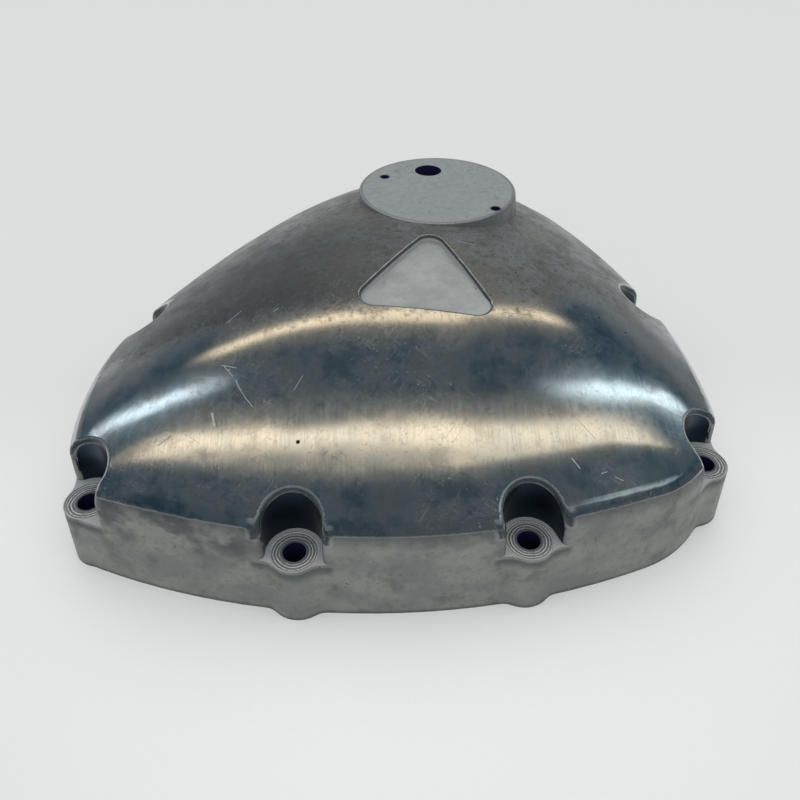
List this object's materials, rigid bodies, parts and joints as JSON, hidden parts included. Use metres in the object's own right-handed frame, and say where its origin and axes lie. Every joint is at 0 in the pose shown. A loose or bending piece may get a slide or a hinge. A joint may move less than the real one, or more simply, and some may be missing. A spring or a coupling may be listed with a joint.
{
  "type": "alternator cover",
  "caption": "Domed cast-aluminium engine side cover with a flat round pad, a triangular recess and bolt bosses set in round pockets about its rim.",
  "frame": {"origin": "middle of the cover's footprint on the mating face", "axes": "+X along the front wall to the right as pictured, +Y from the front wall to the rear apex, +Z out of the engine, up through the round pad"},
  "size_m": [0.2052, 0.1872, 0.065],
  "materials": {
    "casting": "bare cast aluminium, worn semi-polish on the dome, matte on the wall, the pad and the recess"
  },
  "bodies": {
    "root": {"cover": "casting"}
  },
  "joints": []
}
